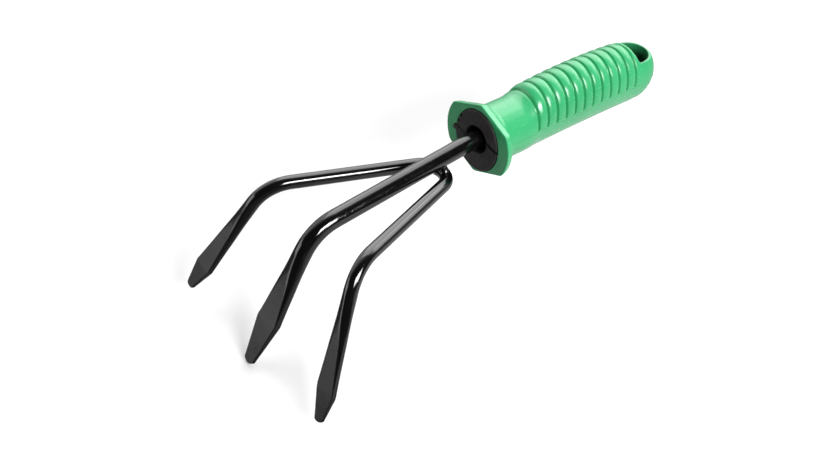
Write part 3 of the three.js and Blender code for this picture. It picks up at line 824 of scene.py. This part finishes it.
class Finish:
    """A node material with short calls for the nodes it is made of."""

    def __init__(self, name):
        self.material = bpy.data.materials.new(name)
        self.material.use_nodes = True
        self.tree = self.material.node_tree
        self.shader = self.tree.nodes["Principled BSDF"]
        self.place = self.node("ShaderNodeTexCoord").outputs["Object"]

    def node(self, kind, inputs=None, **settings):
        made = self.tree.nodes.new(kind)
        for setting, value in settings.items():
            setattr(made, setting, value)
        for key, value in (inputs or {}).items():
            self.feed(made.inputs[key], value)
        return made

    def feed(self, socket, value):
        if isinstance(value, bpy.types.NodeSocket):
            self.tree.links.new(value, socket)
        else:
            socket.default_value = value

    def set(self, **inputs):
        for key, value in inputs.items():
            self.feed(self.shader.inputs[key.replace("_", " ")], value)

    def noise(self, size, detail=2.0, stretch=(1, 1, 1)):
        """Noise from 0 to 1 whose features are about size millimetres across."""
        scale = [s / (size * MM) for s in stretch]
        placed = self.node("ShaderNodeMapping", {"Vector": self.place, "Scale": scale}).outputs[0]
        return self.node("ShaderNodeTexNoise", {"Vector": placed, "Scale": 1.0, "Detail": detail}).outputs[0]

    def remap(self, value, low, high, to_low, to_high):
        inputs = {"Value": value, "From Min": low, "From Max": high, "To Min": to_low, "To Max": to_high}
        return self.node("ShaderNodeMapRange", inputs).outputs[0]

    def blend(self, share, a, b):
        made = self.node("ShaderNodeMix", data_type="RGBA")
        self.feed(made.inputs[0], share)
        self.feed(made.inputs[6], a)
        self.feed(made.inputs[7], b)
        return made.outputs[2]

    def mark(self, name, share=1.0):
        """A point attribute of the mesh, times share."""
        value = self.node("ShaderNodeAttribute", attribute_name=name).outputs["Fac"]
        return self.math("MULTIPLY", value, share)

    def math(self, operation, a, b):
        return self.node("ShaderNodeMath", {0: a, 1: b}, operation=operation).outputs[0]

    def bump(self, height, depth, below=None):
        """A bump whose full height is depth millimetres."""
        inputs = {"Height": height, "Distance": depth * MM, "Strength": 1.0}
        if below is not None:
            inputs["Normal"] = below
        return self.node("ShaderNodeBump", inputs).outputs[0]


def rgb(red, green, blue):
    return (red, green, blue, 1.0)


def grass_green_plastic():
    """Glossy green, with painted shade: darker in the grooves and just below the parting bead, and nearly
    black deep in the hanging hole.
    """
    finish = Finish("grass_green_plastic")
    green, bright_green = rgb(0.036, 0.360, 0.138), rgb(0.045, 0.395, 0.157)
    # the darker green is painted shade for the grooves and just below the parting bead; the near black is
    # painted shade deep in the hanging hole
    shade_green, hole_shade_black = rgb(0.008, 0.26, 0.070), rgb(0.002, 0.012, 0.006)
    pale_green = rgb(0.10, 0.60, 0.30)
    tone = finish.remap(finish.noise(26, 1.5), 0.35, 0.65, 0, 1)
    colour = finish.blend(tone, green, bright_green)
    # painted shade: darker green in the grooves
    colour = finish.blend(finish.mark("groove", 0.7), colour, shade_green)
    # painted shade: darker green just below the parting bead
    colour = finish.blend(finish.mark("seam_shade", 0.5), colour, shade_green)
    # painted shade: nearly black deep in the hanging hole
    colour = finish.blend(finish.mark("deep", 0.95), colour, hole_shade_black)
    speck = finish.remap(finish.noise(0.5, 1.0), 0.70, 0.76, 0, 0.25)
    colour = finish.blend(speck, colour, pale_green)
    rough = finish.remap(finish.noise(9, 3.0), 0.3, 0.7, 0.20, 0.28)
    scuffs = finish.remap(finish.noise(1.2, 3.0, (0.12, 1, 1)), 0.62, 0.75, 0, 0.12)
    skin_grain = finish.bump(finish.noise(0.9, 2.0), 0.006)
    waviness = finish.bump(finish.noise(7, 1.0), 0.030, skin_grain)
    finish.set(Base_Color=colour, Roughness=finish.math("ADD", rough, scuffs), Normal=waviness, IOR=1.6,
               Subsurface_Weight=0.08, Subsurface_Radius=(0.4, 1.0, 0.6), Subsurface_Scale=0.0015)
    return finish.material


def dark_grey_plastic():
    """Matt and grainy, with a little dust, and painted shade: black in the joint between the halves and in
    the mouth.
    """
    finish = Finish("dark_grey_plastic")
    dark_grey, grey = rgb(0.013, 0.011, 0.011), rgb(0.022, 0.018, 0.018)
    # the black is painted shade, for the joint and the mouth
    black, dust_brown = rgb(0.0006, 0.0005, 0.0005), rgb(0.060, 0.046, 0.042)
    tone = finish.remap(finish.noise(3.5, 4.0), 0.3, 0.7, 0, 1)
    colour = finish.blend(tone, dark_grey, grey)
    dust = finish.remap(finish.noise(0.45, 2.0), 0.66, 0.74, 0, 0.5)
    colour = finish.blend(dust, colour, dust_brown)
    # painted shade in the joint and the mouth
    colour = finish.blend(finish.mark("dark"), colour, black)
    rough = finish.remap(finish.noise(2.0, 3.0), 0.3, 0.7, 0.55, 0.75)
    grain = finish.bump(finish.noise(0.35, 3.0), 0.03)
    lumps = finish.bump(finish.noise(2.4, 2.0), 0.05, grain)
    finish.set(Base_Color=colour, Roughness=rough, Normal=lumps, IOR=1.46)
    return finish.material


def black_enamel():
    """Glossy paint with orange peel and a few nibs, duller on the broad faces of the blades, which also
    carry painted light: a lighter grey.
    """
    finish = Finish("black_enamel")
    black, soft_black = rgb(0.0018, 0.0017, 0.0020), rgb(0.0034, 0.0032, 0.0034)
    # the lighter grey is painted light for the broad faces of the blades
    face_light_grey = rgb(0.014, 0.013, 0.014)
    tone = finish.remap(finish.noise(14, 2.0), 0.3, 0.7, 0, 1)
    colour = finish.blend(tone, black, soft_black)
    # painted light: the broad blade faces are lighter grey; the roughness added below makes them duller
    colour = finish.blend(finish.mark("face"), colour, face_light_grey)
    rough = finish.remap(finish.noise(5, 3.0), 0.3, 0.7, 0.06, 0.13)
    rough = finish.math("ADD", rough, finish.mark("face", 0.2))
    orange_peel = finish.bump(finish.noise(1.6, 1.5), 0.010)
    runs = finish.bump(finish.noise(9, 1.0), 0.035, orange_peel)
    nib_height = finish.remap(finish.noise(0.8, 0.0), 0.74, 0.82, 0, 1)
    nibs = finish.bump(nib_height, 0.012, runs)
    finish.set(Base_Color=colour, Roughness=rough, Normal=nibs, IOR=1.7)
    return finish.material


# ------------------------------------------------------------------ studio

CENTRE = (cad_low + cad_high) / 2
EYE = Vector((347.8, 337.4, 342.3))  # place of the camera, in millimetres in the drawing frame
AZIMUTH, ELEVATION, ROLL = 136.92, 39.90, 5.04  # of the camera, in degrees
FOCAL_LENGTH, SENSOR_WIDTH = 52.08, 36


def floor_material():
    """Pale to the camera, far off too; as a reflector it is darker, most of all ahead of the tool."""
    finish = Finish("pale_floor")
    forward = finish.node("ShaderNodeSeparateXYZ", {0: finish.place}).outputs["X"]
    distance = finish.node("ShaderNodeVectorMath", {0: finish.place}, operation="LENGTH").outputs["Value"]
    near_bounce = finish.remap(forward, -0.02, 0.14, 0.50, 0.06)
    bounce = finish.math("MULTIPLY", near_bounce, finish.remap(distance, 0.12, 0.40, 1, 0.3))
    seen = finish.remap(finish.noise(300, 2.0), 0.3, 0.7, 0.76, 0.77)
    camera_ray = finish.node("ShaderNodeLightPath").outputs["Is Camera Ray"]
    other_ray = finish.math("SUBTRACT", 1, camera_ray)
    shade = finish.math("ADD", finish.math("MULTIPLY", camera_ray, seen),
                        finish.math("MULTIPLY", other_ray, bounce))
    far_glow = finish.math("MULTIPLY", camera_ray, finish.remap(distance, 0.4, 1.5, 0, 0.9))
    finish.set(Base_Color=finish.blend(shade, rgb(0, 0, 0), rgb(1, 1, 1)), Roughness=0.9,
               Emission_Color=rgb(1, 1, 1), Emission_Strength=far_glow)
    return finish.material


def make_floor():
    size = 12.0
    clearance = 0.0004
    below = cad_low.z - clearance
    mesh = bpy.data.meshes.new("floor")
    corners = [(x * size, y * size, below) for x, y in ((-1, -1), (1, -1), (1, 1), (-1, 1))]
    mesh.from_pydata(corners, [], [(0, 1, 2, 3)])
    mesh.materials.append(floor_material())
    floor = bpy.data.objects.new("floor", mesh)
    bpy.context.scene.collection.objects.link(floor)


# The area lights: direction and distance from the tool, width and height in metres, and brightness as the
# tool sees it, where 1 is display white
SOFTBOXES = {
    "overhead_box": ((-0.50, -0.42, 0.76), 1.1, 1.3, 1.1, 1.7),
    "key_box": ((0.16, 0.79, 0.56), 1.1, 0.42, 0.36, 16),
    "wing_box": ((-0.12, 0.86, 0.49), 1.1, 0.30, 0.44, 13),
    "rear_box": ((-0.80, 0.15, 0.55), 1.1, 0.6, 0.5, 2.2),
    "blade_box": ((0.81, -0.56, 0.15), 1.2, 0.7, 0.5, 1.5),
}


def make_softbox(name, direction, distance, width, height, radiance):
    """An area light that faces the tool."""
    light = bpy.data.lights.new(name, "AREA")
    light.shape = "RECTANGLE"
    light.size, light.size_y = width, height
    light.energy = 4 * radiance * width * height  # Blender gives an area light a quarter of its energy
    lamp = bpy.data.objects.new(name, light)
    towards = Vector(direction).normalized()
    lamp.location = CENTRE + towards * distance
    lamp.rotation_euler = towards.to_track_quat("Z", "Y").to_euler()
    lamp.visible_camera = False
    bpy.context.scene.collection.objects.link(lamp)


ROOM_BRIGHT_SIDE = Vector((-0.60, -0.78, 0.10))
ROOM_DARK, ROOM_BRIGHT, ROOM_SEEN = 0.03, 1.3, 0.93


def make_world():
    """A room that is bright behind the tool, on its left, and dark elsewhere; the camera sees pale."""
    world = bpy.data.worlds.new("studio")
    world.use_nodes = True
    bpy.context.scene.world = world
    tree = world.node_tree
    nodes, links = tree.nodes, tree.links
    direction = nodes.new("ShaderNodeTexCoord").outputs["Generated"]
    towards = nodes.new("ShaderNodeVectorMath")
    towards.operation = "DOT_PRODUCT"
    links.new(direction, towards.inputs[0])
    towards.inputs[1].default_value = ROOM_BRIGHT_SIDE.normalized()
    glow = nodes.new("ShaderNodeMapRange")
    glow.interpolation_type = "SMOOTHSTEP"
    glow.inputs["From Min"].default_value = 0.0
    glow.inputs["From Max"].default_value = 0.75
    glow.inputs["To Min"].default_value = ROOM_DARK
    glow.inputs["To Max"].default_value = ROOM_BRIGHT
    links.new(towards.outputs["Value"], glow.inputs["Value"])
    seen = nodes.new("ShaderNodeMix")
    seen.data_type = "FLOAT"
    links.new(nodes.new("ShaderNodeLightPath").outputs["Is Camera Ray"], seen.inputs[0])
    links.new(glow.outputs[0], seen.inputs[2])
    seen.inputs[3].default_value = ROOM_SEEN
    background = nodes["Background"]
    background.inputs["Color"].default_value = rgb(1, 1, 1)
    links.new(seen.outputs[0], background.inputs["Strength"])


def make_camera():
    """The eye looks down on the tool from ahead of it, on its right-hand side."""
    azimuth, elevation, roll = (math.radians(angle) for angle in (AZIMUTH, ELEVATION, ROLL))
    back = Vector((math.sin(azimuth) * math.cos(elevation), -math.cos(azimuth) * math.cos(elevation),
                   math.sin(elevation)))
    eye = ORIGIN + EYE * MM
    camera_data = bpy.data.cameras.new("camera")
    camera_data.sensor_width = SENSOR_WIDTH
    camera_data.lens = FOCAL_LENGTH
    camera_data.clip_start, camera_data.clip_end = 0.01, 50
    camera = bpy.data.objects.new("camera", camera_data)
    level = (-back).to_track_quat("-Z", "Y").to_matrix().to_4x4()
    camera.matrix_world = Matrix.Translation(eye) @ level @ Matrix.Rotation(roll, 4, "Z")
    bpy.context.scene.collection.objects.link(camera)
    bpy.context.scene.camera = camera


def make_studio():
    make_floor()
    make_world()
    for name, box in SOFTBOXES.items():
        make_softbox(name, *box)
    bpy.context.scene.view_settings.view_transform = "Standard"
    make_camera()


# ------------------------------------------------------------------ assembly

green = grass_green_plastic()
grey = dark_grey_plastic()
enamel = black_enamel()

make_grip(green)
make_bush_half("bush_upper_moulding", "bush_upper_half", 1, grey)
make_bush_half("bush_lower_moulding", "bush_lower_half", -1, grey)
make_centre_tine(enamel)
make_side_fork(enamel)
make_weld_bead("weld_bead_left_metal", "weld_bead_left", -1, enamel)
make_weld_bead("weld_bead_right_metal", "weld_bead_right", 1, enamel)
make_studio()
